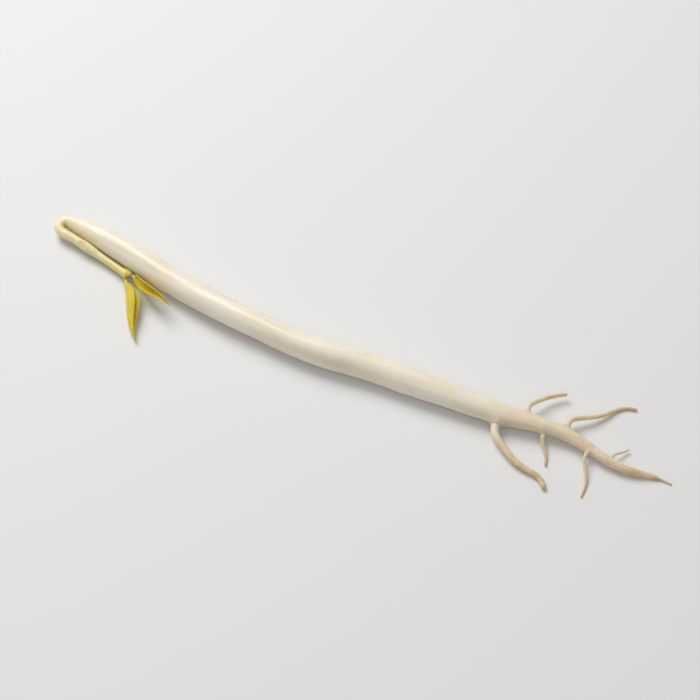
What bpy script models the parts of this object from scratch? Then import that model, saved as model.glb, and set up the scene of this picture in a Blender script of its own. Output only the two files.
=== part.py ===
"""One mung bean sprout, lying on a flat surface with its head towards -X and its root towards +X.

Metres, +Z up. The origin is the middle of the footprint, on the surface. The driving dimensions
below are in millimetres and degrees, and a place along an organ is counted from the organ's base.
A bend is (its middle, the length it is spread over, the turn to the left in degrees).
"""

import math

import bmesh
import bpy
import numpy as np
from mathutils import Vector

MM = 0.001
NAME = "mung_bean_sprout"
ORGAN_GAP = 0.06  # between organs that meet, so that each stays a solid of its own

# Stem (hypocotyl): from the collar, where the root begins, round the hook to the seed-leaf scars.
# A lift is the height of the organ's underside above the surface.
COLLAR = (15.56, 0.92)
STEM_HEADING = 185.0
STEM_LENGTH = 63.6
STEM_BENDS = [(5, 12, 4), (23, 24, -12), (40, 14, -7), (49, 10, 7), (57.4, 3.9, 181), (60.6, 3, -6)]
STEM_RADII = [(0, 1.5), (8, 1.66), (20, 1.74), (36, 1.71), (46, 1.63), (50, 1.52), (53, 1.28),
              (55.4, 0.97), (57.2, 0.72), (59, 0.62), (61.4, 0.57), (63.6, 0.57)]
STEM_LIFT = [(0, 0), (24, 0), (49, 0), (54.5, 0.2), (57.2, 0.5), (60, 0.62), (63.6, 0.5)]
STEM_RINGS = [(0, 50, 2.5), (50, STEM_LENGTH, 0.6)]  # from, to, spacing of the rings

# Taproot: from the collar to a thread-like tip.
ROOT_LENGTH = 26.5
ROOT_BENDS = [(4, 8, 7), (13, 8, -24), (20, 6, 30), (25, 3, -20)]
ROOT_RADII = [(0, 1.5), (4, 1.32), (8, 1.1), (13, 0.82), (18, 0.6), (22, 0.44), (24.2, 0.27),
              (25.2, 0.13), (26.5, 0.09)]
ROOT_LIFT = [(0, 0), (6, 0.12), (12, 0.34), (18, 0.3), (23, 0.06), (26.5, 0.02)]
ROOT_RINGS = [(0, 22, 1.1), (22, ROOT_LENGTH, 0.5)]

# Lateral roots: place along the taproot, side (1 left, -1 right), rise of the base in degrees,
# length, radius at base and at tip, bends after leaving the taproot square, lift of the tip.
ROOTLETS = [
    (4.6, -1, -12, 10.5, 0.5, 0.3, [(1.2, 2.4, 52), (5.6, 4, 26), (9, 2.6, -48)], 0.02),
    (7.6, 1, 16, 6.0, 0.34, 0.2, [(0.9, 1.8, -44), (4, 3.6, -20)], 0.7),
    (10.2, -1, -10, 3.8, 0.26, 0.15, [(0.7, 1.4, 34), (2.6, 2.2, -24)], 0.02),
    (12.4, 1, 8, 9.6, 0.36, 0.16, [(1, 2, -54), (4.6, 4, 20), (8, 3.2, -46)], 0.02),
    (16.2, -1, 4, 5.6, 0.22, 0.12, [(0.7, 1.4, 46), (3.6, 3, -30)], 0.02),
    (18.8, 1, 10, 2.6, 0.16, 0.1, [(0.5, 1, -30)], 0.3),
]
ROOTLET_RINGS = 11

# Epicotyl: the thin stalk from the seed-leaf scars to the pair of leaves.
EPICOTYL_LENGTH = 5.8
EPICOTYL_BENDS = [(3.5, 5, -4)]
EPICOTYL_RADII = [(0, 0.56), (1, 0.5), (3.4, 0.45), (4.8, 0.47), (5.8, 0.54)]
EPICOTYL_LIFT = [(0, 0.5), (3, 0.46), (5.8, 0.5)]
EPICOTYL_RINGS = [(0, EPICOTYL_LENGTH, 0.58)]

# Leaves: a narrow foot that opens into a folded, pointed blade. Each leaf has its distance to
# the left of the stalk's axis, its turn off the stalk, length, flat width and bends, and then, at
# shares of its length, the height of its keel, the lean of its fold and the angle it stands open.
BLADE_THICKNESS = 0.2
FOOT_WIDTH = 0.44
POINT_WIDTH = 0.12
FOOT_SHARE = 0.1  # of the leaf's length
LEAF_GAP = 0.2  # between the stalk's end and the leaf's foot
LEAF_STATIONS = 19
LEAF_STEPS_ACROSS = 6
LEAVES = {
    "leaf_front": {
        "aside": -0.36, "turn": -40, "length": 9.6, "width": 2.8, "bends": [(3, 4, -4), (7.5, 5, 24)],
        "height": [(0, 0.92), (0.35, 1.1), (0.7, 0.86), (1, 0.5)],
        "lean": [(0, -10), (0.3, -52), (1, -64)],
        "open": [(0, 64), (0.2, 36), (0.75, 34), (1, 40)],
    },
    "leaf_back": {
        "aside": 0.38, "turn": -5, "length": 8.4, "width": 2.5, "bends": [(2.4, 4, 4), (6.5, 4, -24)],
        "height": [(0, 0.96), (0.35, 1.3), (0.7, 2.1), (1, 3.0)],
        "lean": [(0, -10), (0.35, 32), (1, 46)],
        "open": [(0, 64), (0.2, 38), (0.6, 46), (1, 44)],
    },
}

# Terminal bud, between the leaves.
BUD_RADII = [(0, 0.1), (0.3, 0.19), (0.6, 0.2), (0.95, 0.13), (1.2, 0.05)]
BUD_LENGTH = 1.2
BUD_BASE = 0.34  # height of its base above the stalk's axis
BUD_RISE = 0.3

# Colour and roughness of each organ.
FINISHES = {
    "stem_flesh": ((0.86, 0.80, 0.66), 0.38),
    "root_skin": ((0.78, 0.68, 0.48), 0.5),
    "rootlet_skin": ((0.68, 0.53, 0.30), 0.55),
    "epicotyl_skin": ((0.80, 0.74, 0.36), 0.42),
    "leaf_blade": ((0.80, 0.66, 0.09), 0.45),
    "bud_scales": ((0.62, 0.58, 0.14), 0.5),
}


def clear_scene():
    for old in list(bpy.data.objects):
        bpy.data.objects.remove(old, do_unlink=True)


def ease(t):
    """Smooth step from 0 to 1."""
    t = np.clip(t, 0.0, 1.0)
    return t * t * (3.0 - 2.0 * t)


def along(stops, s):
    """The smooth curve through (place, value) stops, read at s. It never overshoots a stop."""
    at, value = np.array(stops, float).T
    secant = np.diff(value) / np.diff(at)
    before, after = secant[:-1], secant[1:]
    one_way = before * after > 0
    inner = np.where(one_way, 2 * before * after / np.where(one_way, before + after, 1.0), 0.0)
    slope = np.concatenate([secant[:1], inner, secant[-1:]])
    i = np.clip(np.searchsorted(at, s, side="right") - 1, 0, len(at) - 2)
    gap = at[i + 1] - at[i]
    t = np.clip((s - at[i]) / gap, 0.0, 1.0)
    rise = value[i + 1] - value[i]
    start = slope[i] * gap
    end = slope[i + 1] * gap
    return value[i] + t * (start + t * (3 * rise - 2 * start - end + t * (start + end - 2 * rise)))


def ring_places(runs):
    """Places along an organ, from runs of (from, to, spacing). The first leaves the organ's gap."""
    places = [ORGAN_GAP]
    for start, end, spacing in runs:
        count = round((end - start) / spacing)
        places += list(np.linspace(start, end, count + 1)[1:])
    return np.array(places)


def heading_at(heading, bends, s):
    """The direction of travel in plan, in degrees, after the bends that lie before s."""
    return heading + sum(turn * ease((s - middle) / over + 0.5) for middle, over, turn in bends)


def walk(start, heading, bends, places, step=0.05):
    """Points in plan, at places along a path that leaves start and turns by its bends."""
    s = np.arange(0.0, places[-1] + step, step)
    angle = np.radians(heading_at(heading, bends, s[:-1] + step / 2))
    x = start[0] + np.append(0.0, np.cumsum(np.cos(angle) * step))
    y = start[1] + np.append(0.0, np.cumsum(np.sin(angle) * step))
    return np.column_stack([np.interp(places, s, x), np.interp(places, s, y)])


def moved(point, heading, distance):
    """The point in plan that lies a distance away in the direction of a heading."""
    angle = math.radians(heading)
    return np.array(point[:2]) + distance * np.array([math.cos(angle), math.sin(angle)])


def lifted(plan, radii, lift):
    """The axis of a round organ whose underside has the given lift."""
    return np.column_stack([plan, radii + lift])


def finish(slot):
    """The organ's material, made once."""
    made = bpy.data.materials.get(slot)
    if made is None:
        colour, roughness = FINISHES[slot]
        made = bpy.data.materials.new(slot)
        made.use_nodes = True
        made.diffuse_color = (*colour, 1.0)
        shader = made.node_tree.nodes["Principled BSDF"]
        shader.inputs["Base Color"].default_value = (*colour, 1.0)
        shader.inputs["Roughness"].default_value = roughness
        shader.inputs["Metallic"].default_value = 0.0
    return made


def place(name, data, slot, base, sprout):
    """Puts an organ in the sprout's collection, with its origin at its base."""
    data.materials.append(finish(slot))
    made = bpy.data.objects.new(name, data)
    made.location = Vector(base) * MM
    made.parent = sprout
    sprout.users_collection[0].objects.link(made)
    return made


def tube(name, points, radii, slot, sprout, bevel_resolution=2):
    """A round organ that follows points, with a radius at each, in millimetres."""
    data = bpy.data.curves.new(name, "CURVE")
    data.dimensions = "3D"
    data.bevel_depth = MM  # so a point's radius is in millimetres
    data.bevel_resolution = bevel_resolution
    data.use_fill_caps = True
    spline = data.splines.new("POLY")
    spline.points.add(len(points) - 1)
    spline.use_smooth = True
    for knot, point, radius in zip(spline.points, points, radii):
        knot.co = (*((Vector(point) - Vector(points[0])) * MM), 1.0)
        knot.radius = radius
    return place(name, data, slot, points[0], sprout)


def make_stem(sprout):
    places = ring_places(STEM_RINGS)
    radii = along(STEM_RADII, places)
    plan = walk(COLLAR, STEM_HEADING, STEM_BENDS, places)
    tube("stem", lifted(plan, radii, along(STEM_LIFT, places)), radii, "stem_flesh", sprout, 4)


def root_axis(places):
    plan = walk(COLLAR, STEM_HEADING - 180.0, ROOT_BENDS, places)
    return lifted(plan, along(ROOT_RADII, places), along(ROOT_LIFT, places))


def make_taproot(sprout):
    places = ring_places(ROOT_RINGS)
    tube("taproot", root_axis(places), along(ROOT_RADII, places), "root_skin", sprout, 3)


def make_rootlets(sprout):
    for number, (at, side, rise, length, thick, thin, bends, tip_lift) in enumerate(ROOTLETS, 1):
        outward = heading_at(STEM_HEADING - 180.0, ROOT_BENDS, at) + side * 90.0
        axis = root_axis(np.array([at]))[0]
        reach = float(along(ROOT_RADII, at)) + 2 * ORGAN_GAP
        start = moved(axis, outward, reach * math.cos(math.radians(rise)))
        base_height = axis[2] + reach * math.sin(math.radians(rise))
        share = np.linspace(0.0, 1.0, ROOTLET_RINGS)
        radii = thick + (thin - thick) * share
        plan = walk(start, outward, bends, share * length)
        lift = (base_height - thick) + (tip_lift - base_height + thick) * ease(share * 1.2)
        points = lifted(plan, radii, np.maximum(lift, 0.02))
        tube(f"rootlet_{number}", points, radii, "rootlet_skin", sprout)


def stem_end():
    """Where the stem ends in plan, and its heading there."""
    point = walk(COLLAR, STEM_HEADING, STEM_BENDS, np.array([0.0, STEM_LENGTH]))[1]
    return point, heading_at(STEM_HEADING, STEM_BENDS, STEM_LENGTH)


def stalk_end():
    """Where the epicotyl ends in plan, and its heading there."""
    start, heading = stem_end()
    point = walk(start, heading, EPICOTYL_BENDS, np.array([0.0, EPICOTYL_LENGTH]))[1]
    return point, heading_at(heading, EPICOTYL_BENDS, EPICOTYL_LENGTH)


def make_epicotyl(sprout):
    start, heading = stem_end()
    places = ring_places(EPICOTYL_RINGS)
    radii = along(EPICOTYL_RADII, places)
    plan = walk(start, heading, EPICOTYL_BENDS, places)
    points = lifted(plan, radii, along(EPICOTYL_LIFT, places))
    tube("epicotyl", points, radii, "epicotyl_skin", sprout)


def blade_half_width(share, width):
    """Half the flat width of a leaf at a share of its length: foot, swelling blade, point."""
    blade = np.clip((share - FOOT_SHARE) / (1.0 - FOOT_SHARE), 0.0, 1.0)
    swell = np.sin(math.pi * blade**0.6) ** 0.9
    return (FOOT_WIDTH + (POINT_WIDTH - FOOT_WIDTH) * blade + width * swell) / 2


def make_leaf(name, sprout):
    """A gutter that follows the keel, with both halves of the blade folded up from it."""
    leaf = LEAVES[name]
    stalk, heading = stalk_end()
    base = moved(moved(stalk, heading + 90.0, leaf["aside"]), heading, LEAF_GAP)
    share = np.linspace(0.0, 1.0, LEAF_STATIONS)
    plan = walk(base, heading + leaf["turn"], leaf["bends"], share * leaf["length"])
    keel = np.column_stack([plan, along(leaf["height"], share)])
    ahead = np.gradient(keel, axis=0)
    ahead /= np.linalg.norm(ahead, axis=1)[:, None]
    side = np.cross(ahead, (0.0, 0.0, 1.0))
    side /= np.linalg.norm(side, axis=1)[:, None]
    lean = np.radians(along(leaf["lean"], share))[:, None]
    fold = np.cross(side, ahead) * np.cos(lean) + side * np.sin(lean)
    across = np.cross(ahead, fold)
    half = blade_half_width(share, leaf["width"])
    spread = np.radians(along(leaf["open"], share)) / 2

    grid = bmesh.new()
    bmesh.ops.create_grid(grid, x_segments=LEAF_STATIONS - 1, y_segments=LEAF_STEPS_ACROSS, size=1.0)
    for vertex in grid.verts:
        i = round((vertex.co.x + 1.0) / 2.0 * (LEAF_STATIONS - 1))
        out = vertex.co.y  # -1 and 1 at the margins, 0 at the keel
        level = half[i] * math.sin(spread[i]) * out
        rise = half[i] * math.cos(spread[i]) * abs(out) * min(1.0, 0.35 + 0.65 * abs(out))
        point = keel[i] + across[i] * level + fold[i] * rise
        vertex.co = Vector(point - keel[0]) * MM
    mesh = bpy.data.meshes.new(name)
    grid.to_mesh(mesh)
    grid.free()
    blade = place(name, mesh, "leaf_blade", keel[0], sprout)
    thickness = blade.modifiers.new("thickness", "SOLIDIFY")
    thickness.thickness = BLADE_THICKNESS * MM
    thickness.offset = 1.0  # outwards, because the fold leaves no room inside


def make_bud(sprout):
    start, heading = stalk_end()
    places = ring_places([(0, BUD_LENGTH, 0.2)])
    plan = np.array([moved(start, heading, at) for at in places])
    height = EPICOTYL_LIFT[-1][1] + EPICOTYL_RADII[-1][1] + BUD_BASE + BUD_RISE * places
    points = np.column_stack([plan, height])
    tube("terminal_bud", points, along(BUD_RADII, places), "bud_scales", sprout)


def main():
    clear_scene()
    collection = bpy.data.collections.new(NAME)
    bpy.context.scene.collection.children.link(collection)
    sprout = bpy.data.objects.new(NAME, None)
    collection.objects.link(sprout)
    make_stem(sprout)
    make_taproot(sprout)
    make_rootlets(sprout)
    make_epicotyl(sprout)
    for name in LEAVES:
        make_leaf(name, sprout)
    make_bud(sprout)


main()
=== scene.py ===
# The looks of one mung bean sprout, lying on a pale floor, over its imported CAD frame.
# Driving values are in millimetres and degrees, and repeat those of the CAD model.

import math

import bmesh
import bpy
import numpy as np
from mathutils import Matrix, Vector, noise


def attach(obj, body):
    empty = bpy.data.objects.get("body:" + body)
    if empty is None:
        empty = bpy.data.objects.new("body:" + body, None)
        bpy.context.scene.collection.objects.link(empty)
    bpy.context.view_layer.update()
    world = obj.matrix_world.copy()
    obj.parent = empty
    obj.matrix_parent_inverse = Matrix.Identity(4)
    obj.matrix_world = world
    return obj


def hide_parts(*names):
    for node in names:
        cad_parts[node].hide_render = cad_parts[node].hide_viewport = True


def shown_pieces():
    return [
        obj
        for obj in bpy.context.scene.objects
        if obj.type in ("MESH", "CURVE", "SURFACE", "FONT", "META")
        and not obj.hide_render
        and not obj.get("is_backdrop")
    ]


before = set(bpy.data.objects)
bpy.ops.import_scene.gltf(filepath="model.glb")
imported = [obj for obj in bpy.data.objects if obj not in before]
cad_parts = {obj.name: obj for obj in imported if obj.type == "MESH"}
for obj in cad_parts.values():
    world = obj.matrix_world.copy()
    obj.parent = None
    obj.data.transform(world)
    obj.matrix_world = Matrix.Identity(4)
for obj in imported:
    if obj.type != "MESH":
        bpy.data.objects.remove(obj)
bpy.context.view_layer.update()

MM = 0.001

# The main axis runs from the root tip (negative places), through the collar (0) and round the
# hook to the seed-leaf scars (63.6), and on to the tip of the epicotyl.
COLLAR = (15.56, 0.92)
STEM_HEADING = 185.0
STEM_LENGTH = 63.6
STEM_BENDS = [(5, 12, 4), (23, 24, -12), (40, 14, -7), (49, 10, 7), (57.4, 3.9, 181), (60.6, 3, -6)]
STEM_RADII = [(0, 1.5), (8, 1.66), (20, 1.74), (36, 1.71), (46, 1.63), (50, 1.52), (53, 1.28),
              (55.4, 0.97), (57.2, 0.72), (59, 0.62), (61.4, 0.57), (63.6, 0.57)]
STEM_LIFT = [(0, 0), (24, 0), (49, 0), (54.5, 0.2), (57.2, 0.5), (60, 0.62), (63.6, 0.5)]
ROOT_LENGTH = 26.5
ROOT_BENDS = [(4, 8, 7), (13, 8, -24), (20, 6, 30), (25, 3, -20)]
ROOT_RADII = [(0, 1.5), (4, 1.32), (8, 1.1), (13, 0.82), (18, 0.6), (22, 0.44), (24.2, 0.27),
              (25.2, 0.13), (26.5, 0.09)]
ROOT_LIFT = [(0, 0), (6, 0.12), (12, 0.34), (18, 0.3), (23, 0.06), (26.5, 0.02)]
EPICOTYL_LENGTH = 5.8
EPICOTYL_BENDS = [(3.5, 5, -4)]
EPICOTYL_RADII = [(0, 0.56), (1, 0.5), (3.4, 0.45), (4.8, 0.47), (5.8, 0.54)]
EPICOTYL_LIFT = [(0, 0.5), (3, 0.46), (5.8, 0.5)]
# Place along the taproot, side, rise of the base, length, radius at base and tip, bends, tip lift.
ROOTLETS = [
    (4.6, -1, -12, 10.5, 0.5, 0.3, [(1.2, 2.4, 52), (5.6, 4, 26), (9, 2.6, -48)], 0.02),
    (7.6, 1, 16, 6.0, 0.34, 0.2, [(0.9, 1.8, -44), (4, 3.6, -20)], 0.7),
    (10.2, -1, -10, 3.8, 0.26, 0.15, [(0.7, 1.4, 34), (2.6, 2.2, -24)], 0.02),
    (12.4, 1, 8, 9.6, 0.36, 0.16, [(1, 2, -54), (4.6, 4, 20), (8, 3.2, -46)], 0.02),
    (16.2, -1, 4, 5.6, 0.22, 0.12, [(0.7, 1.4, 46), (3.6, 3, -30)], 0.02),
    (18.8, 1, 10, 2.6, 0.16, 0.1, [(0.5, 1, -30)], 0.3),
]
ROOTLET_GAP = 0.12
BLADE_THICKNESS = 0.2
FOOT_WIDTH = 0.44
POINT_WIDTH = 0.12
FOOT_SHARE = 0.1
LEAF_GAP = 0.2
LEAVES = {
    "leaf_front": {
        "aside": -0.36, "turn": -40, "length": 9.6, "width": 2.8,
        "bends": [(3, 4, -4), (7.5, 5, 24)],
        "height": [(0, 0.92), (0.35, 1.1), (0.7, 0.86), (1, 0.5)],
        "lean": [(0, -10), (0.3, -52), (1, -64)],
        "open": [(0, 64), (0.2, 36), (0.75, 34), (1, 40)],
    },
    "leaf_back": {
        "aside": 0.38, "turn": -5, "length": 8.4, "width": 2.5,
        "bends": [(2.4, 4, 4), (6.5, 4, -24)],
        "height": [(0, 0.96), (0.35, 1.3), (0.7, 2.1), (1, 3.0)],
        "lean": [(0, -10), (0.35, 32), (1, 46)],
        "open": [(0, 64), (0.2, 38), (0.6, 46), (1, 44)],
    },
}
BUD_BASE = 0.34  # how far the bud's middle lies above that of the stalk's end


def ease(t):
    """Smooth step from 0 to 1."""
    t = np.clip(t, 0.0, 1.0)
    return t * t * (3.0 - 2.0 * t)


def along(stops, s):
    """The smooth curve through (place, value) stops, read at s. It never overshoots a stop."""
    at, value = np.array(stops, float).T
    secant = np.diff(value) / np.diff(at)
    before, after = secant[:-1], secant[1:]
    one_way = before * after > 0
    inner = np.where(one_way, 2 * before * after / np.where(one_way, before + after, 1.0), 0.0)
    slope = np.concatenate([secant[:1], inner, secant[-1:]])
    i = np.clip(np.searchsorted(at, s, side="right") - 1, 0, len(at) - 2)
    gap = at[i + 1] - at[i]
    t = np.clip((s - at[i]) / gap, 0.0, 1.0)
    rise = value[i + 1] - value[i]
    start = slope[i] * gap
    end = slope[i + 1] * gap
    return value[i] + t * (start + t * (3 * rise - 2 * start - end + t * (start + end - 2 * rise)))


def heading_at(heading, bends, s):
    """The direction of travel in plan, in degrees, after the bends that lie before s."""
    return heading + sum(turn * ease((s - middle) / over + 0.5) for middle, over, turn in bends)


def walk(start, heading, bends, places, step=0.05):
    """Points in plan, at places along a path that leaves start and turns by its bends."""
    s = np.arange(0.0, places[-1] + step, step)
    angle = np.radians(heading_at(heading, bends, s[:-1] + step / 2))
    x = start[0] + np.append(0.0, np.cumsum(np.cos(angle) * step))
    y = start[1] + np.append(0.0, np.cumsum(np.sin(angle) * step))
    return np.column_stack([np.interp(places, s, x), np.interp(places, s, y)])


def moved(point, heading, distance):
    """The point in plan that lies a distance away in the direction of a heading."""
    angle = math.radians(heading)
    return np.array(point[:2]) + distance * np.array([math.cos(angle), math.sin(angle)])


def unit(vectors):
    return vectors / np.linalg.norm(vectors, axis=-1, keepdims=True)


def frames(points):
    """Directions ahead, to the right and up at each point of a path."""
    ahead = unit(np.gradient(points, axis=0))
    right = unit(np.cross(ahead, (0.0, 0.0, 1.0)))
    return ahead, right, np.cross(right, ahead)


def rough(points, across, lengthwise, shift=0.0):
    """Smooth noise from -1 to 1 at organ points, with its own fineness across and lengthwise."""
    flat = points.reshape(-1, 3) * (across, across, lengthwise) + (shift, 0.0, 1.7 * shift)
    return np.array([noise.noise(p) for p in flat]).reshape(points.shape[:-1])


def organ_points(places, radii, turns):
    """The organ straightened out: its surface as a round bar along Z, in millimetres."""
    x = radii[:, None] * np.cos(turns)
    y = radii[:, None] * np.sin(turns)
    return np.dstack([x, y, np.repeat(places[:, None], len(turns), axis=1)])


def rings_round(points, right, up, reach, turns, flat=1.0):
    """Rings of points round a path, at a reach given for each place and turn. A factor below 1
    presses them flat."""
    across = np.cos(turns)[None, :, None] * right[:, None]
    upward = flat * np.sin(turns)[None, :, None] * up[:, None]
    return points[:, None] + reach[..., None] * (across + upward)


def layered(organ, thick, layers):
    """Relief at organ points, in millimetres, from layers of noise. Each layer has its height,
    fineness across, fineness lengthwise, shift, and the power of the thickness that it follows."""
    return sum(height * thick**power * rough(organ, across, lengthwise, shift)
               for height, across, lengthwise, shift, power in layers)


FULL_RELIEF = 0.3  # the radius from which an organ has all of its relief


def reach_out(radii, relief):
    """How far the skin lies from the middle line. A thin organ has less relief."""
    return radii[:, None] + relief * np.minimum(1.0, radii[:, None] / FULL_RELIEF)


def rounded(places, end, cap):
    """Factor on the radius that closes an organ in a dome over the last cap millimetres."""
    into = np.clip((places - (end - cap)) / cap, 0.0, 1.0)
    return np.sqrt(np.maximum(1.0 - into**2, 1e-4))


def rest_on_floor(points, soft=0.02):
    """Presses a surface softly flat where it would sink into the floor."""
    z = points[..., 2]
    points[..., 2] = 0.5 * (z + np.sqrt(z * z + soft * soft))
    return points


def mesh_object(name, verts, faces, fields, rims=()):
    """A smooth closed mesh in metres, with its vertex fields stored as attributes.
    Each rim is a set of vertex numbers, and the edges that run round it are sharp."""
    mesh = bpy.data.meshes.new(name)
    mesh.from_pydata((verts * MM).tolist(), [], faces)
    for field, values in fields.items():
        kind, part = ("FLOAT_VECTOR", "vector") if values.ndim == 2 else ("FLOAT", "value")
        layer = mesh.attributes.new(field, kind, "POINT")
        layer.data.foreach_set(part, values.astype(np.float32).ravel())
    built = bmesh.new()
    built.from_mesh(mesh)
    bmesh.ops.recalc_face_normals(built, faces=built.faces)
    for edge in built.edges:
        ends = {vertex.index for vertex in edge.verts}
        edge.smooth = not any(ends <= rim for rim in rims)
    built.to_mesh(mesh)
    built.free()
    mesh.polygons.foreach_set("use_smooth", [True] * len(mesh.polygons))
    made = bpy.data.objects.new(name, mesh)
    bpy.context.scene.collection.objects.link(made)
    return made


def tube_object(name, rings, fields, cut_first=False, cut_last=False):
    """A closed tube through rings of points. Each field has one value or vector for each point.
    An end is either a dome or cut flat, and a cut end has a sharp rim."""
    count, around = rings.shape[:2]
    faces = []
    for i in range(count - 1):
        for j in range(around):
            k = (j + 1) % around
            a, b = i * around, (i + 1) * around
            faces.append((a + j, a + k, b + k, b + j))
    first, last = count * around, count * around + 1
    for j in range(around):
        k = (j + 1) % around
        faces.append((first, k, j))
        faces.append((last, (count - 1) * around + j, (count - 1) * around + k))

    def flat(grid):
        ends = np.stack([grid[0].mean(axis=0), grid[-1].mean(axis=0)])
        return np.concatenate([grid.reshape((count * around, *grid.shape[2:])), ends])

    first_rim, last_rim = set(range(around)), set(range((count - 1) * around, count * around))
    rims = [first_rim] * cut_first + [last_rim] * cut_last
    fields = {key: flat(grid) for key, grid in fields.items()}
    return mesh_object(name, flat(rings), faces, fields, rims)


def sheet_object(name, lower, upper, fields):
    """A closed mesh between two grids of points, joined round their rims."""
    rows, columns = lower.shape[:2]
    number = np.arange(rows * columns).reshape(rows, columns)
    faces = []
    for base in (0, rows * columns):
        for i in range(rows - 1):
            for j in range(columns - 1):
                quad = (number[i, j], number[i, j + 1], number[i + 1, j + 1], number[i + 1, j])
                faces.append(tuple(int(q) + base for q in quad))
    rim = [*number[0, :-1], *number[:-1, -1], *number[-1, :0:-1], *number[:0:-1, 0]]
    for a, b in zip(rim, rim[1:] + rim[:1]):
        faces.append((int(a), int(b), int(b) + rows * columns, int(a) + rows * columns))
    verts = np.concatenate([lower.reshape(-1, 3), upper.reshape(-1, 3)])
    flat = {key: grid.reshape((-1, *grid.shape[2:])) for key, grid in fields.items()}
    doubled = {key: np.concatenate([values, values]) for key, values in flat.items()}
    return mesh_object(name, verts, faces, doubled)


def show(piece, material, slot, *nodes):
    """Puts a piece on the CAD body, in place of its nodes, with its finish."""
    piece.data.materials.append(material)
    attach(piece, "root")
    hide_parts(*nodes)
    return piece


# ---------------------------------------------------------------------------------------------
# The main axis: taproot, stem and epicotyl share one continuous skin, cut where organs meet.

TIP_PLACE = STEM_LENGTH + EPICOTYL_LENGTH
DOME = 0.34  # the epicotyl's rounded end beyond its length
ROOT_DOME = 0.12  # the rounded end of the root tip
AXIS_SIDES = 96
ROOT_STEP = 0.14  # between rings, as the next two
STEM_STEP = 0.22
FINE_STEP = 0.11
AXIS_SLOTS = {"taproot": "root_skin", "stem": "stem_flesh", "epicotyl": "epicotyl_skin"}
AXIS_RADII = [(-s, r) for s, r in reversed(ROOT_RADII)] + STEM_RADII[1:]
AXIS_RADII += [(STEM_LENGTH + s, r) for s, r in EPICOTYL_RADII[1:]]
AXIS_LIFT = [(-s, h) for s, h in reversed(ROOT_LIFT)] + STEM_LIFT[1:]
AXIS_LIFT += [(STEM_LENGTH + s, h) for s, h in EPICOTYL_LIFT[1:]]


def axis_plan(places):
    """Points in plan on the main axis."""
    root = places < 0
    stem = walk(COLLAR, STEM_HEADING, STEM_BENDS, np.append(places[~root], STEM_LENGTH))
    plan = np.zeros((len(places), 2))
    if root.any():
        back = walk(COLLAR, STEM_HEADING - 180.0, ROOT_BENDS, -places[root][::-1])
        plan[root] = back[::-1]
    plan[~root] = stem[:-1]
    beyond = places > STEM_LENGTH
    if beyond.any():
        heading = heading_at(STEM_HEADING, STEM_BENDS, STEM_LENGTH)
        start = walk(COLLAR, STEM_HEADING, STEM_BENDS, np.array([0.0, STEM_LENGTH]))[1]
        plan[beyond] = walk(start, heading, EPICOTYL_BENDS, places[beyond] - STEM_LENGTH)
    return plan


def axis_radii(places):
    ends = rounded(-places, ROOT_LENGTH, ROOT_DOME) * rounded(places, TIP_PLACE + DOME, DOME)
    return along(AXIS_RADII, places) * ends


def axis_points(places):
    """The middle line of the main axis."""
    height = along(AXIS_RADII, places) + along(AXIS_LIFT, places)
    return np.column_stack([axis_plan(places), height])


SLOW_SWAY = 0.26
QUICK_SWAY = 0.07


def sway(places):
    """Small wanderings of the middle line, sideways, where nothing else is close by."""
    on_stem = ease((50.0 - places) / 8.0) * ease((places - 1.0) / 4.0)
    on_root = 0.6 * ease((-1.0 - places) / 3.0) * ease((places + 26.0) / 6.0)
    slow = np.array([noise.noise((0.14 * s, 3.7, 1.3)) for s in places])
    quick = np.array([noise.noise((0.4 * s, 8.1, 5.9)) for s in places])
    return np.maximum(on_stem, on_root) * (SLOW_SWAY * slow + QUICK_SWAY * quick)


def spot(places, turns, place, turn, length, width, radii):
    """Distance from a spot on the skin: 1 on an ellipse of that half length and half width."""
    off = np.arctan2(np.sin(turns - turn), np.cos(turns - turn))
    across = np.outer(radii, off) / width
    lengthwise = (places - place)[:, None] / length
    return np.sqrt(across**2 + lengthwise**2)


STEM_RADIUS = 1.6  # the radius for which the heights of relief are given
# Layers of relief: height, fineness across and lengthwise, shift, power of the thickness.
SKIN_LAYERS = [(0.08, 0.35, 0.12, 7.0, 1.0), (0.035, 0.8, 0.3, 31.0, 1.0),
               (0.022, 3.0, 0.14, 53.0, 0.5), (0.007, 8.0, 0.3, 71.0, 0.0)]
ROOT_LAYERS = [(0.05, 0.9, 1.1, 11.0, 0.6), (0.022, 0.8, 4.2, 17.0, 0.6)]
HOOK_LAYERS = [(0.04, 0.9, 5.5, 23.0, 0.0)]  # creases on the inside of the hook
OVAL = 0.04  # how far the stem is from round
OVAL_TWIST = 0.08  # how fast its oval turns, in radians per millimetre
NODE_PLACE = 62.7  # the swelling that bears the seed leaves
NODE_SWELL = 0.06
# Shallow furrows and dents, where the stem was pressed: place, turn, half length, half width,
# depth.
FURROWS = [(27.0, 38, 11.0, 0.8, 0.09), (44.0, 118, 5.0, 0.5, 0.07), (12.5, 75, 2.2, 1.0, 0.08),
           (36.5, 95, 1.6, 0.7, 0.06), (18.0, 150, 6.0, 0.6, 0.07), (31.0, 215, 8.0, 0.8, 0.08),
           (-9.5, 60, 2.4, 0.4, 0.05), (-15.0, 110, 1.8, 0.3, 0.04)]
SCARS = [(62.35, math.radians(62)), (62.35, math.radians(242))]  # where the two seed leaves sat
SCAR_LENGTH = 0.85
SCAR_WIDTH = 0.4
SCAR_RIM = 0.07
SCAR_DEPTH = 0.05
FOOT_SPOT = 1.3  # the foot of a rootlet on the skin, in radii of the rootlet
FOOT_RISE = 0.7  # how far the skin rises there, in the same radii
FOOT_TAN = 0.3
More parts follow.
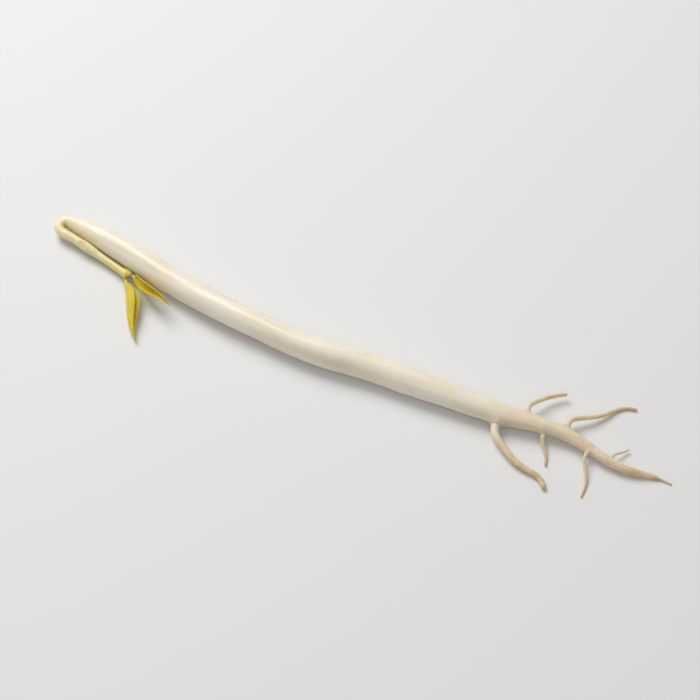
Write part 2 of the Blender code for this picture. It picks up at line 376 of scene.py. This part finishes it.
# How brown and how yellow the skin is, by place on the main axis.
TAN = [(-26.5, 0.95), (-24, 0.8), (-18, 0.4), (-12, 0.24), (-6, 0.12), (-1, 0.06), (8, 0), (70, 0)]
BLUSH = [(-26.5, 0), (44, 0), (54, 0.13), (57, 0.36), (61, 0.48), (64, 0.66), (67, 0.86), (70, 1)]


def axis_skin(places, turns):
    """Rings of points on the skin, and its fields."""
    radii = axis_radii(places)
    organ = organ_points(places, radii, turns)
    thick = (radii / STEM_RADIUS)[:, None]
    root = ease(-places / 12.0)[:, None]
    hook = (ease((places - 54.5) / 2.5) * ease((61.5 - places) / 2.5))[:, None]
    inner = np.clip(-np.cos(turns), 0.0, 1.0)[None, :] ** 1.5

    relief = layered(organ, thick, SKIN_LAYERS) + root * layered(organ, thick, ROOT_LAYERS)
    relief += hook * inner * layered(organ, thick, HOOK_LAYERS)
    relief += OVAL * thick * np.cos(2.0 * (turns[None, :] - OVAL_TWIST * places[:, None]))
    relief += NODE_SWELL * np.exp(-(((places - NODE_PLACE) / 0.8) ** 2))[:, None]
    bruise = np.zeros_like(relief)
    for place, turn, length, width, deep in FURROWS:
        dent = np.exp(-spot(places, turns, place, math.radians(turn), length, width, radii) ** 2)
        relief -= deep * dent
        bruise = np.maximum(bruise, dent)
    # The skin rises in a hollow slope to the foot of each lateral root, and is browner there.
    depth = (soak_share(places) * soak_weight(radii))[:, None] + np.zeros_like(relief)
    tan = along(TAN, places)[:, None] + np.zeros_like(relief)
    for at, side, rise, _, foot, *_ in ROOTLETS:
        turn = math.radians(rise if side > 0 else 180.0 - rise)
        away = spot(places, turns, -at, turn, FOOT_SPOT * foot, FOOT_SPOT * foot, radii)
        relief += FOOT_RISE * foot * np.exp(-2.0 * np.maximum(away - 1.0, 0.0))
        depth *= ease(0.5 * away)
        around = spot(places, turns, -at, turn, 2.1 * foot, 1.9 * foot, radii)
        tan += FOOT_TAN * np.exp(-around**2) * (1.0 - tan)
    # The scars of the seed leaves: flat ovals with a raised rim.
    scar = np.zeros_like(relief)
    for place, turn in SCARS:
        away = spot(places, turns, place, turn, SCAR_LENGTH, SCAR_WIDTH, radii)
        relief += SCAR_RIM * np.exp(-(((away - 1.0) / 0.25) ** 2))
        relief -= SCAR_DEPTH * ease(1.6 - 1.6 * away)
        scar = np.maximum(scar, ease((1.15 - away) / 0.4))

    points = axis_points(places)
    _, right, up = frames(points)
    points = points + right * sway(places)[:, None]
    rings = rings_round(points, right, up, reach_out(radii, relief), turns)
    # Painted shade: from place 49 on, the sides of stem and neck that face each other across the
    # narrow slit by the hook are painted yellower and darker. The field below holds this together
    # with the real yellowing of hook and stalk.
    painted_slit_shade = 0.35 * inner * ease((places - 49.0) / 6.0)[:, None]
    fields = {
        "organ": organ,
        "blush_and_painted_shade": along(BLUSH, places)[:, None] + painted_slit_shade,
        "bruise": bruise,
        "depth": depth,
        "tan": tan,
        "scar": scar,
    }
    return rest_on_floor(rings), fields


def soak_share(places):
    """Share of the soaking light that stays along the main axis. It fades where two pieces
    meet, so that no piece looks darker for what its neighbour hides."""
    at_collar = np.exp(-((places / 0.8) ** 2))
    at_scars = np.exp(-(((places - STEM_LENGTH) / 0.5) ** 2))
    return (1.0 - at_collar) * (1.0 - at_scars)


SOAK_LEAST = 0.3
SOAK_MORE = 0.55
SOAK_RADIUS = 0.8


def soak_weight(radii):
    """Weight of the light that soaks in, less where the flesh is too thin to hold it."""
    return SOAK_LEAST + SOAK_MORE * ease(radii / SOAK_RADIUS)


def make_axis(skins):
    turns = np.linspace(0.0, 2.0 * math.pi, AXIS_SIDES, endpoint=False)
    # Places of the rings, closer together at the rounded ends and from where the stem thins.
    stretches = {
        "taproot": [np.linspace(-ROOT_LENGTH, -26.36, 6), np.arange(-26.3, -0.05, ROOT_STEP),
                    [0.0]],
        "stem": [np.arange(0.0, 52.0, STEM_STEP), np.arange(52.0, 63.5, FINE_STEP), [STEM_LENGTH]],
        "epicotyl": [np.arange(STEM_LENGTH, TIP_PLACE - 0.02, FINE_STEP),
                     TIP_PLACE + DOME * np.sin(np.linspace(0.0, math.pi / 2, 8))],
    }
    for node, runs in stretches.items():
        places = np.concatenate(runs)
        # Frames come from the neighbouring places too, so that both sides of a cut agree.
        low = max(-ROOT_LENGTH, places[0] - 0.05)
        high = min(TIP_PLACE + DOME, places[-1] + 0.05)
        wide = np.concatenate([[low] * (low < places[0]), places, [high] * (high > places[-1])])
        rings, fields = axis_skin(wide, turns)
        keep = slice(int(low < places[0]), len(wide) - int(high > places[-1]))
        fields = {key: value[keep] for key, value in fields.items()}
        cut_first, cut_last = node != "taproot", node != "epicotyl"
        piece = tube_object(node + "_skin", rings[keep], fields, cut_first, cut_last)
        show(piece, skins[node], AXIS_SLOTS[node], node)


# ---------------------------------------------------------------------------------------------
# Lateral roots.

ROOTLET_SIDES = 40
ROOTLET_LAYERS = [(0.05, 1.2, 0.5, 3.0, 1.0), (0.016, 1.6, 5.0, 9.0, 0.0),
                  (0.03, 2.6, 0.3, 5.0, 0.0)]
FLARE = 0.45  # how much thicker a rootlet is at its foot
TIP_TAN = 0.95


def make_rootlets(material):
    turns = np.linspace(0.0, 2.0 * math.pi, ROOTLET_SIDES, endpoint=False)
    for number, (at, side, rise, length, thick, thin, bends, tip_lift) in enumerate(ROOTLETS, 1):
        outward = heading_at(STEM_HEADING - 180.0, ROOT_BENDS, at) + side * 90.0
        axis = axis_points(np.array([-at]))[0]
        slope = math.radians(rise)
        reach = float(along(ROOT_RADII, at)) + ROOTLET_GAP
        start = moved(axis, outward, reach * math.cos(slope))
        base_height = axis[2] + reach * math.sin(slope)
        # A stub inside the taproot, then the root itself.
        stub = np.linspace(-0.75, -0.08, 8) * reach
        cap = 1.5 * thin
        tip = length - cap + cap * np.sin(np.linspace(0.0, math.pi / 2, 10))
        run = np.linspace(0.0, length - cap, round(length / FINE_STEP))
        places = np.concatenate([stub, run, tip[1:]])
        share = np.clip(places / length, 0.0, 1.0)
        plan = np.vstack([[moved(start, outward, s * math.cos(slope)) for s in stub],
                          walk(start, outward, bends, places[len(stub):])])
        radii = thick + (thin - thick) * share
        base_lift = base_height - thick
        lift = base_lift + (tip_lift - base_lift) * ease(share * 1.2)
        height = radii + np.maximum(lift, 0.02) + np.minimum(places, 0.0) * math.sin(slope)
        points = np.column_stack([plan, height])

        flare = 1.0 + FLARE * np.exp(-np.maximum(places, 0.0) / (0.8 * thick))
        swelling = 1.0 + 0.06 * np.exp(-(((places - length + 1.6 * thin) / thin) ** 2))
        radii = radii * flare * swelling * rounded(places, length, cap)
        organ = organ_points(places + 20.0 * number, radii, turns)
        relief = layered(organ, thick, ROOTLET_LAYERS)
        _, right, up = frames(points)
        rings = rings_round(points, right, up, reach_out(radii, relief), turns)
        start_tan = float(along(TAN, -at)) + 0.05
        tan = start_tan + (TIP_TAN - start_tan) * share**0.9
        # No light soaks in next to the taproot, whose shade would stain the foot.
        soaked = soak_weight(radii) * ease(places / (3.2 * thick))
        fields = {
            "organ": organ,
            "tan": np.broadcast_to(tan[:, None], relief.shape),
            "blush_and_painted_shade": np.zeros_like(relief),
            "bruise": np.zeros_like(relief),
            "depth": np.broadcast_to(soaked[:, None], relief.shape),
            "scar": np.zeros_like(relief),
        }
        piece = tube_object(f"rootlet_{number}_skin", rest_on_floor(rings), fields)
        show(piece, material, "rootlet_skin", f"rootlet_{number}")


# ---------------------------------------------------------------------------------------------
# Leaves.

LEAF_STUB = 0.75  # how far the foot of a leaf reaches back into the stalk
LEAF_ROWS = 150
LEAF_COLUMNS = 49
VEIN_GAP = 0.85
VEIN_SLANT = 1.15
VEIN_RISE = 0.012
MIDRIB_RISE = 0.05
MIDRIB_WIDTH = 0.13
THINNEST = 0.004


def blade_half_width(share, width):
    """Half the flat width of a leaf at a share of its length: foot, swelling blade, point."""
    blade = np.clip((share - FOOT_SHARE) / (1.0 - FOOT_SHARE), 0.0, 1.0)
    swell = np.sin(math.pi * blade**0.66) ** 1.25
    return (FOOT_WIDTH + (POINT_WIDTH - FOOT_WIDTH) * blade + width * swell) / 2


def stalk_end():
    """Where the epicotyl ends in plan, and its heading there."""
    heading = heading_at(STEM_HEADING, STEM_BENDS, STEM_LENGTH)
    point = axis_plan(np.array([0.0, TIP_PLACE]))[1]
    return point, heading_at(heading, EPICOTYL_BENDS, EPICOTYL_LENGTH)


def grid_normals(points):
    """Unit normals of a grid of points."""
    return unit(np.cross(np.gradient(points, axis=0), np.gradient(points, axis=1)) + 1e-12)


def make_leaf(name, material):
    leaf = LEAVES[name]
    stalk, heading = stalk_end()
    base = moved(moved(stalk, heading + 90.0, leaf["aside"]), heading, LEAF_GAP)
    stub_share = LEAF_STUB / leaf["length"]
    stub = np.linspace(-stub_share, 0.0, 12)
    share = np.concatenate([stub[:-1], np.linspace(0.0, 1.0, LEAF_ROWS)])
    beyond_foot = np.maximum(share, 0.0)
    turned = heading + leaf["turn"]
    start = moved(base, turned, -LEAF_STUB)
    bends = [(middle + LEAF_STUB, over, turn) for middle, over, turn in leaf["bends"]]
    plan = walk(start, turned, bends, (share + stub_share) * leaf["length"])
    keel = np.column_stack([plan, along(leaf["height"], beyond_foot)])
    ahead, side, up = frames(keel)
    lean = np.radians(along(leaf["lean"], beyond_foot))[:, None]
    fold = up * np.cos(lean) + side * np.sin(lean)
    across = np.cross(ahead, fold)
    half = blade_half_width(share, leaf["width"])
    half *= ease((1.0 - share) / 0.03) * 0.85 + 0.15
    half += 0.09 * ease((0.04 - share) / 0.09)
    spread = np.radians(along(leaf["open"], beyond_foot)) / 2

    out = np.sin(np.linspace(-math.pi / 2, math.pi / 2, LEAF_COLUMNS))
    lengthwise = share[:, None] * leaf["length"] + np.zeros_like(out)
    flat = half[:, None] * out
    organ = np.dstack([flat, np.zeros_like(flat), lengthwise])
    level = half[:, None] * np.sin(spread)[:, None] * out
    profile = np.abs(out) * np.minimum(1.0, 0.35 + 0.65 * np.abs(out))
    rise = half[:, None] * np.cos(spread)[:, None] * profile
    inner = keel[:, None] + across[:, None] * level[..., None] + fold[:, None] * rise[..., None]

    # Waves in the blade, stronger towards the margins.
    normal = grid_normals(inner)
    outward = np.sign(np.einsum("ijk,ik->ij", normal, -fold).mean())
    normal = normal * outward
    wave = 0.10 * rough(organ, 0.25, 0.42, 3.0) + 0.03 * rough(organ, 0.9, 1.3, 13.0)
    wave = wave * np.abs(out) ** 2 * np.minimum(1.0, half[:, None] / 0.8)
    inner = inner + normal * wave[..., None]

    normal = grid_normals(inner) * outward
    drift = 0.2 * rough(organ, 0.8, 0.5, 41.0)
    vein = np.mod((lengthwise - VEIN_SLANT * np.abs(flat)) / VEIN_GAP + drift, 1.0) - 0.5
    side_veins = np.exp(-((vein / 0.11) ** 2)) * ease(share * 6.0)[:, None]
    side_veins *= 1.0 - np.abs(out) ** 4
    midrib = np.exp(-((flat / MIDRIB_WIDTH) ** 2)) * (1.0 - 0.7 * beyond_foot)[:, None]
    fine = rough(organ, 4.0, 4.0, 5.0)
    thickness = BLADE_THICKNESS * np.sqrt(np.maximum(1.0 - np.abs(out) ** 7, 0.0))[None, :]
    thickness = thickness * (1.0 - 0.75 * ease((share - 0.35) / 0.65))[:, None] * 0.92
    thickness = thickness + MIDRIB_RISE * midrib + VEIN_RISE * side_veins + 0.004 * fine
    thickness = np.minimum(thickness, 0.55 * half[:, None])
    outer = inner + normal * np.maximum(thickness, THINNEST)[..., None]
    inner = inner + normal * (VEIN_RISE * side_veins + 0.02 * midrib)[..., None]
    # The foot is a solid little stalk: the fold is filled up to a shallow groove.
    full = half[:, None] * np.cos(spread)[:, None] * (0.84 + 0.16 * out**2) - rise
    inner = inner + fold[:, None] * (full * ease((0.17 - share) / 0.07)[:, None])[..., None]
    fields = {
        "organ": organ,
        "edge": np.abs(out)[None, :] + np.zeros_like(flat),
        "share": beyond_foot[:, None] + np.zeros_like(flat),
        "vein": np.maximum(side_veins * 0.45, midrib),
    }
    piece = sheet_object(name + "_blade", rest_on_floor(inner), rest_on_floor(outer), fields)
    show(piece, material, "leaf_blade", name)


BUD_SIDES = 24
BUD_ROWS = 28
# Length, radius, distance aside and ahead, drop at the foot, rise, turn, flatness.
BUD_PARTS = {
    "bud_core": (1.15, 0.16, 0.0, -0.1, 0.28, 0.24, 0.0, 0.85),
    "bud_scale_left": (0.98, 0.16, 0.12, -0.12, 0.28, 0.14, 7.0, 0.66),
    "bud_scale_right": (0.88, 0.16, -0.12, -0.12, 0.28, 0.08, -9.0, 0.66),
    "stipule_left": (1.05, 0.2, 0.36, -0.3, 0.5, -0.1, 8.0, 0.55),
    "stipule_right": (1.0, 0.2, -0.34, -0.3, 0.5, -0.16, -14.0, 0.55),
}


def make_bud(material):
    """Small pointed scales round the growing tip, and one beside the foot of each leaf."""
    stalk, heading = stalk_end()
    base_height = EPICOTYL_LIFT[-1][1] + EPICOTYL_RADII[-1][1] + BUD_BASE
    turns = np.linspace(0.0, 2.0 * math.pi, BUD_SIDES, endpoint=False)
    for name, (length, radius, aside, start, drop, rise, turn, flat) in BUD_PARTS.items():
        places = np.linspace(0.0, length, BUD_ROWS)
        share = places / length
        origin = moved(moved(stalk, heading + 90.0, aside), heading, start)
        plan = np.array([moved(origin, heading + turn, s) for s in places])
        height = base_height - drop * (1.0 - ease(share * 2.2)) + rise * places
        points = np.column_stack([plan, height])
        radii = radius * (np.sin(math.pi * np.clip(share, 0.004, 0.996) ** 0.7) ** 0.75)
        organ = organ_points(places, radii, turns)
        relief = 0.02 * rough(organ, 6.0, 1.0, 4.0) * np.minimum(1.0, radii[:, None] / 0.1)
        _, right, up = frames(points)
        rings = rings_round(points, right, up, radii[:, None] + relief, turns, flat)
        fields = {"organ": organ, "share": share[:, None] + np.zeros_like(relief)}
        show(tube_object(name, rings, fields), material, "bud_scales", "terminal_bud")


# ---------------------------------------------------------------------------------------------
# Finishes. All colours are linear.

PALE_FLESH = (0.895, 0.84, 0.745)
SHADED_FLESH = (0.85, 0.77, 0.625)
PALE_ROOTLET = (0.88, 0.812, 0.695)
SHADED_ROOTLET = (0.82, 0.73, 0.57)
FIBRE_STREAK = (0.93, 0.905, 0.845)
FIBRE_GAP = (0.71, 0.65, 0.49)
# Yellow of the hook and stalk, also used as painted shade in the slit between stem and neck.
YELLOW_BLUSH_AND_PAINTED_SHADE = (0.77, 0.645, 0.20)
BRUISED = (0.74, 0.67, 0.47)
TAN_SKIN = (0.60, 0.44, 0.21)
ROOT_RING = (0.46, 0.30, 0.13)
FLECK = (0.55, 0.36, 0.15)
SCAR_SKIN = (0.70, 0.58, 0.30)
LEAF_GOLD = (0.79, 0.625, 0.055)
LEAF_SHADE = (0.67, 0.53, 0.05)
LEAF_EDGE = (0.47, 0.46, 0.06)
LEAF_TIP = (0.37, 0.29, 0.09)
LEAF_FOOT = (0.68, 0.56, 0.12)
LEAF_VEIN = (0.88, 0.70, 0.16)
BUD_SHADE = (0.56, 0.45, 0.07)
BUD_GOLD = (0.69, 0.54, 0.12)
BUD_TIP = (0.30, 0.24, 0.07)
STEM_ROUGHNESS = 0.38  # of the epicotyl too
ROOT_ROUGHNESS = 0.42
ROOTLET_ROUGHNESS = 0.44


class Finish:
    """A procedural material, built node by node round one Principled shader."""

    def __init__(self, name, **constants):
        self.material = bpy.data.materials.new(name)
        self.material.use_nodes = True
        self.tree = self.material.node_tree
        self.shader = self.tree.nodes["Principled BSDF"]
        for socket, value in constants.items():
            self.shader.inputs[socket.replace("_", " ")].default_value = value

    def add(self, kind, inputs, **settings):
        node = self.tree.nodes.new(kind)
        for key, value in settings.items():
            setattr(node, key, value)
        for socket, value in inputs.items():
            self.put(node.inputs[socket], value)
        return node

    def put(self, socket, value):
        if isinstance(value, bpy.types.NodeSocket):
            self.tree.links.new(value, socket)
        else:
            socket.default_value = value

    def field(self, name):
        return self.add("ShaderNodeAttribute", {}, attribute_name=name).outputs["Fac"]

    def organ_space(self, across, lengthwise, shift):
        """Organ points, scaled to so many features per millimetre."""
        organ = self.add("ShaderNodeAttribute", {}, attribute_name="organ").outputs["Vector"]
        inputs = {0: organ, 1: (across, across, lengthwise), 2: (shift, shift, shift)}
        return self.add("ShaderNodeVectorMath", inputs, operation="MULTIPLY_ADD").outputs["Vector"]

    def noise(self, across, lengthwise, detail=2.0, roughness=0.5, shift=0.0):
        """Noise in organ space."""
        inputs = {"Vector": self.organ_space(across, lengthwise, shift), "Scale": 1.0,
                  "Detail": detail, "Roughness": roughness}
        return self.add("ShaderNodeTexNoise", inputs).outputs["Fac"]

    def flecks(self, across, lengthwise, size, shift=0.0):
        """Sparse round flecks in organ space, 1 at their middles."""
        inputs = {"Vector": self.organ_space(across, lengthwise, shift), "Scale": 1.0}
        cells = self.add("ShaderNodeTexVoronoi", inputs)
        return self.remap(cells.outputs["Distance"], 0.0, size, 1.0, 0.0)

    def remap(self, value, low, high, to_low=0.0, to_high=1.0):
        node = self.add("ShaderNodeMapRange", {0: value, 1: low, 2: high, 3: to_low, 4: to_high},
                        interpolation_type="SMOOTHSTEP")
        return node.outputs[0]

    def times(self, a, b):
        return self.add("ShaderNodeMath", {0: a, 1: b}, operation="MULTIPLY").outputs[0]

    def mix(self, factor, a, b):
        node = self.add("ShaderNodeMix", {"Factor": factor}, data_type="RGBA")
        for socket, value in ((node.inputs[6], a), (node.inputs[7], b)):
            self.put(socket, value if isinstance(value, bpy.types.NodeSocket) else (*value, 1.0))
        return node.outputs[2]

    def bump(self, heights):
        """Chained bumps from (height, distance in millimetres, strength)."""
        normal = None
        for height, distance, strength in heights:
            inputs = {"Height": height, "Distance": distance * MM, "Strength": strength}
            if normal is not None:
                inputs["Normal"] = normal
            normal = self.add("ShaderNodeBump", inputs).outputs["Normal"]
        self.put(self.shader.inputs["Normal"], normal)


def flesh(name, pale, shade, roughness):
    """The watery, fibrous flesh of stem, root and stalk."""
    f = Finish(name, Coat_Weight=0.25, Coat_Roughness=0.26, Subsurface_Scale=1.1 * MM,
               Subsurface_Radius=(1.0, 0.73, 0.38), Subsurface_Anisotropy=0.3, IOR=1.38,
               Specular_IOR_Level=0.5)
    cloud = f.remap(f.noise(0.35, 0.14, 3.0, 0.55), 0.36, 0.66)
    fibre = f.noise(3.2, 0.07, 3.0, 0.6, 3.0)
    colour = f.mix(cloud, pale, shade)
    streak = f.remap(fibre, 0.46, 0.62)
    colour = f.mix(f.times(streak, 0.22), colour, FIBRE_STREAK)
    gap = f.remap(fibre, 0.30, 0.42, 1.0, 0.0)
    colour = f.mix(f.times(gap, 0.14), colour, FIBRE_GAP)
    # Real yellowing of the hook and stalk, plus painted shade on the sides that face each other
    # across the slit by the hook.
    blush_and_painted_shade = f.field("blush_and_painted_shade")
    patches = f.remap(f.noise(0.6, 0.35, 2.0, 0.5, 5.0), 0.2, 0.6, 0.6, 1.0)
    colour = f.mix(f.times(blush_and_painted_shade, patches), colour, YELLOW_BLUSH_AND_PAINTED_SHADE)
    colour = f.mix(f.times(f.field("bruise"), 0.35), colour, BRUISED)
    tan = f.field("tan")
    uneven = f.remap(f.noise(0.9, 0.7, 3.0, 0.6, 9.0), 0.25, 0.7, 0.55, 1.25)
    colour = f.mix(f.times(tan, uneven), colour, TAN_SKIN)
    rings = f.remap(f.noise(1.3, 2.6, 3.0, 0.6, 12.0), 0.52, 0.72)
    colour = f.mix(f.times(f.times(rings, tan), 0.4), colour, ROOT_RING)
    fleck = f.flecks(0.5, 0.3, 0.055, 4.0)
    colour = f.mix(f.times(fleck, 0.65), colour, FLECK)
    colour = f.mix(f.times(f.field("scar"), 0.5), colour, SCAR_SKIN)
    f.put(f.shader.inputs["Base Color"], colour)
    f.put(f.shader.inputs["Subsurface Weight"], f.field("depth"))
    dull = f.remap(f.noise(2.4, 0.5, 3.0, 0.6, 2.0), 0.3, 0.7, roughness - 0.07, roughness + 0.1)
    f.put(f.shader.inputs["Roughness"], dull)
    f.bump([
        (fibre, 0.05, 0.22),
        (f.noise(9.0, 1.6, 2.0, 0.5, 21.0), 0.02, 0.25),
        (f.noise(1.0, 6.0, 2.0, 0.5, 25.0), 0.02, 0.08),
    ])
    return f.material


def leaf_finish():
    f = Finish("leaf_blade", Subsurface_Weight=0.6, Subsurface_Scale=0.35 * MM,
               Subsurface_Radius=(1.0, 0.85, 0.15), IOR=1.42, Specular_IOR_Level=0.5)
    cloud = f.remap(f.noise(0.8, 0.5, 3.0, 0.6), 0.35, 0.65)
    colour = f.mix(cloud, LEAF_GOLD, LEAF_SHADE)
    edge = f.remap(f.field("edge"), 0.72, 1.0)
    green = f.times(edge, f.remap(f.noise(0.7, 0.8, 2.0, 0.5, 4.0), 0.3, 0.65, 0.1, 0.6))
    colour = f.mix(green, colour, LEAF_EDGE)
    tip = f.remap(f.field("share"), 0.78, 1.0, 0.0, 0.8)
    colour = f.mix(tip, colour, LEAF_TIP)
    foot = f.remap(f.field("share"), 0.0, 0.22, 0.7, 0.0)
    colour = f.mix(foot, colour, LEAF_FOOT)
    colour = f.mix(f.times(f.field("vein"), 0.45), colour, LEAF_VEIN)
    f.put(f.shader.inputs["Base Color"], colour)
    dull = f.remap(f.noise(3.0, 3.0, 2.0, 0.5, 6.0), 0.3, 0.7, 0.36, 0.52)
    f.put(f.shader.inputs["Roughness"], dull)
    f.bump([
        (f.noise(7.0, 5.0, 3.0, 0.6, 8.0), 0.03, 0.4),
        (f.noise(2.0, 2.0, 2.0, 0.5, 14.0), 0.04, 0.3),
    ])
    return f.material


def bud_finish():
    f = Finish("bud_scales", Subsurface_Weight=0.4, Subsurface_Scale=0.25 * MM,
               Subsurface_Radius=(1.0, 0.85, 0.2), IOR=1.42)
    cloud = f.remap(f.noise(3.0, 2.0, 2.0, 0.5), 0.35, 0.65)
    colour = f.mix(cloud, BUD_SHADE, BUD_GOLD)
    tip = f.remap(f.field("share"), 0.55, 1.0, 0.0, 0.8)
    colour = f.mix(tip, colour, BUD_TIP)
    f.put(f.shader.inputs["Base Color"], colour)
    dull = f.remap(f.noise(6.0, 6.0, 2.0, 0.5, 6.0), 0.3, 0.7, 0.42, 0.6)
    f.put(f.shader.inputs["Roughness"], dull)
    f.bump([(f.noise(14.0, 3.0, 2.0, 0.5, 8.0), 0.03, 0.5)])
    return f.material


# ---------------------------------------------------------------------------------------------
# Floor, light and camera, in metres.

FLOOR_HALF = 3.0
FLOOR_DROP = 0.00002  # just under the lowest skin
LAMP_COLOUR = (1.0, 0.99, 0.97)
SENSOR_WIDTH = 36.0  # in millimetres, as the lens


def direction(azimuth, elevation):
    """From the middle of the object towards a camera or lamp."""
    a, e = math.radians(azimuth), math.radians(elevation)
    return np.array((math.sin(a) * math.cos(e), -math.cos(a) * math.cos(e), math.sin(e)))


def make_floor():
    mesh = bpy.data.meshes.new("floor")
    corners = [(-1, -1), (1, -1), (1, 1), (-1, 1)]
    mesh.from_pydata([(FLOOR_HALF * x, FLOOR_HALF * y, 0) for x, y in corners], [], [(0, 1, 2, 3)])
    floor = bpy.data.objects.new("floor", mesh)
    floor.location.z = -FLOOR_DROP
    bpy.context.scene.collection.objects.link(floor)
    finish = Finish("floor", Base_Color=(0.80, 0.80, 0.80, 1.0), Roughness=0.7,
                    Specular_IOR_Level=0.2)
    mesh.materials.append(finish.material)
    floor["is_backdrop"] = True


def make_light(name, azimuth, elevation, distance, size, power):
    """A soft box that shines at the middle of the object."""
    data = bpy.data.lights.new(name, "AREA")
    data.shape = "RECTANGLE"
    data.size = size[0]
    data.size_y = size[1]
    data.energy = power
    data.color = LAMP_COLOUR
    lamp = bpy.data.objects.new(name, data)
    back = Vector(direction(azimuth, elevation))
    lamp.location = back * distance
    lamp.rotation_euler = back.to_track_quat("Z", "Y").to_euler()
    bpy.context.scene.collection.objects.link(lamp)


def make_world(colour, strength):
    world = bpy.data.worlds.new("studio")
    world.use_nodes = True
    background = world.node_tree.nodes["Background"]
    background.inputs["Color"].default_value = (*colour, 1.0)
    background.inputs["Strength"].default_value = strength
    bpy.context.scene.world = world


def make_camera(azimuth, elevation, lens, fill):
    """A camera that looks at the middle of the object as it appears from there. The object
    fills that share of the frame."""
    data = bpy.data.cameras.new("camera")
    data.lens = lens
    data.sensor_width = SENSOR_WIDTH
    data.clip_start = 0.01
    camera = bpy.data.objects.new("camera", data)
    bpy.context.scene.collection.objects.link(camera)
    back = direction(azimuth, elevation)
    right = np.array((math.cos(math.radians(azimuth)), math.sin(math.radians(azimuth)), 0.0))
    up = np.cross(back, right)
    points = np.concatenate([
        np.array([tuple(o.matrix_world @ v.co) for v in o.data.vertices]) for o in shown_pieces()
    ])
    middle = sum(axis * ((points @ axis).max() + (points @ axis).min()) / 2
                 for axis in (right, up, back))
    half = max(np.ptp(points @ right), np.ptp(points @ up)) / 2
    distance = half / fill / (SENSOR_WIDTH / 2 / lens)
    camera.location = middle + back * distance
    camera.rotation_euler = Vector(back).to_track_quat("Z", "Y").to_euler()
    bpy.context.scene.camera = camera


make_axis({
    "stem": flesh("stem_flesh", PALE_FLESH, SHADED_FLESH, STEM_ROUGHNESS),
    "taproot": flesh("root_skin", PALE_FLESH, SHADED_FLESH, ROOT_ROUGHNESS),
    "epicotyl": flesh("epicotyl_skin", PALE_FLESH, SHADED_FLESH, STEM_ROUGHNESS),
})
make_rootlets(flesh("rootlet_skin", PALE_ROOTLET, SHADED_ROOTLET, ROOTLET_ROUGHNESS))
leaf_material = leaf_finish()
for leaf_name in LEAVES:
    make_leaf(leaf_name, leaf_material)
make_bud(bud_finish())

make_floor()
bpy.context.scene.view_settings.view_transform = "Standard"
make_world(colour=(1.0, 0.995, 0.985), strength=0.30)
make_light("key", azimuth=-118.0, elevation=50.0, distance=0.45, size=(0.27, 0.27), power=1.6)
make_light("fill", azimuth=20.0, elevation=60.0, distance=0.5, size=(0.4, 0.3), power=0.35)
make_camera(azimuth=29.0, elevation=57.0, lens=95.0, fill=0.88)
